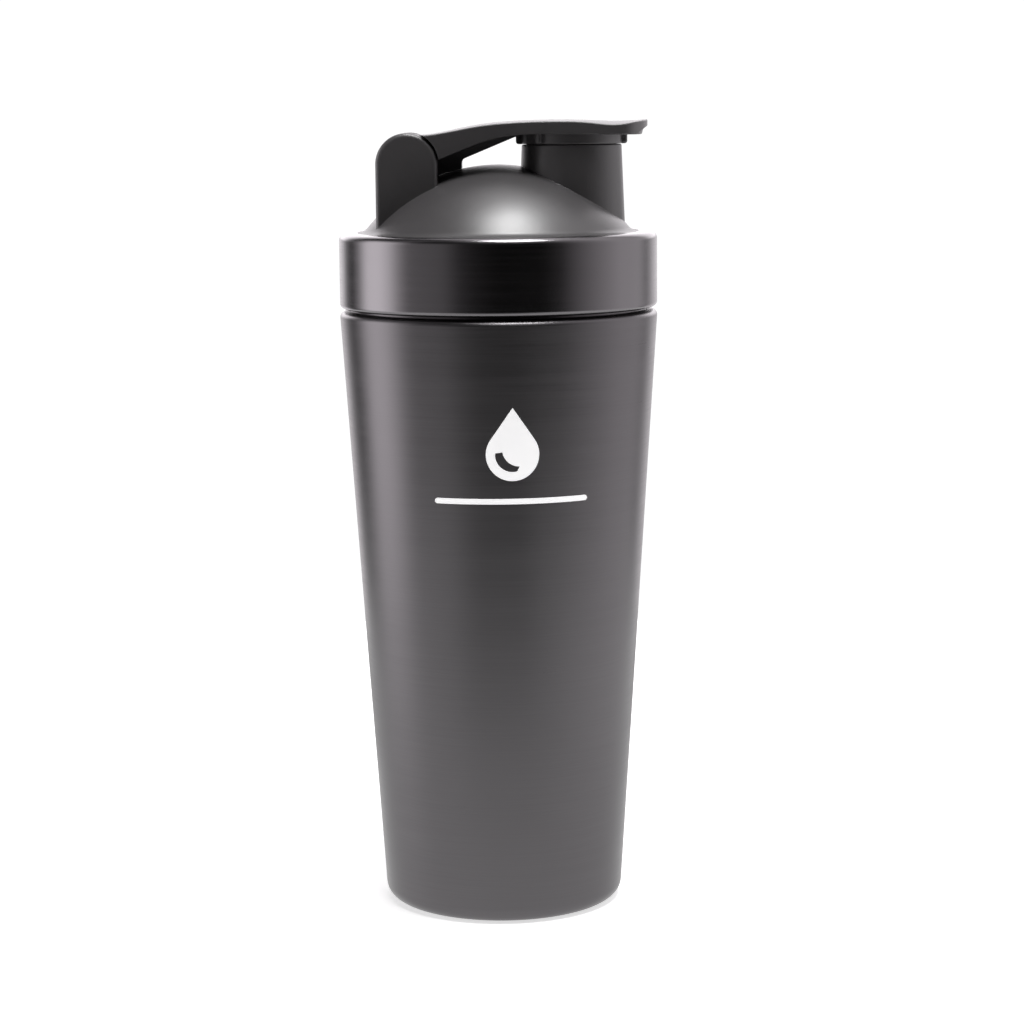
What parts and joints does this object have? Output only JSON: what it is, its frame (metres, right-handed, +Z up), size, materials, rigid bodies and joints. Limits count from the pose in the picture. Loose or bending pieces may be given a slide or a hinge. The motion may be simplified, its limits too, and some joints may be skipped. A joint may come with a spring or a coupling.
{
  "type": "protein shaker bottle",
  "caption": "Tapered double-wall steel shaker cup with a screw lid, a domed top, a flip cap over a round spout and a loose wire mixing ball.",
  "frame": {"origin": "middle of the foot, on the plane that it stands on", "axes": "+Z up along the cup's axis, +X towards the spout, -X towards the hinge"},
  "size_m": [0.094, 0.094, 0.2336],
  "materials": {
    "cup_coating": "satin black coating over circumferentially brushed steel",
    "band_coating": "smoother, glossier black coating over steel",
    "bare_steel": "bare brushed stainless steel",
    "black_plastic": "fine-textured matte moulded plastic",
    "silicone": "soft matte silicone",
    "white_ink": "flat screen-printed ink"
  },
  "bodies": {
    "cup": {"outer_cup": "cup_coating", "inner_liner": "bare_steel", "base_plate": "cup_coating", "vacuum_seal": "bare_steel", "printed_mark": "white_ink"},
    "gasket": {"lid_gasket": "silicone"},
    "band": {"lid_band": "band_coating"},
    "lid": {"lid_dome": "black_plastic", "hinge_pin": "bare_steel"},
    "cap": {"flip_cap": "black_plastic", "spout_seal": "silicone"},
    "ball": {"mixing_ball": "bare_steel"}
  },
  "joints": [
    {"name": "lid_lift", "type": "slide", "parent": "cup", "child": "gasket", "axis": [0, 0, 1], "range_m": [0, 0.12]},
    {"name": "lid_rise", "type": "slide", "parent": "gasket", "child": "band", "axis": [0, 0, 1], "range_m": [0, 0.005]},
    {"name": "lid_turn", "type": "hinge", "parent": "band", "child": "lid", "pos_m": [0, 0, 0.19], "axis": [0, 0, 1], "range_deg": [0, 450]},
    {"name": "cap_flip", "type": "hinge", "parent": "lid", "child": "cap", "pos_m": [-0.0263, 0, 0.2211], "axis": [0, -1, 0], "range_deg": [0, 130]},
    {"name": "ball_shake", "type": "slide", "parent": "cup", "child": "ball", "axis": [0, 0, 1], "range_m": [0, 0.135]}
  ],
  "couplings": [
    {"joint": "lid_rise", "follows": "lid_turn", "m_per_rad": 0.0006366}
  ]
}
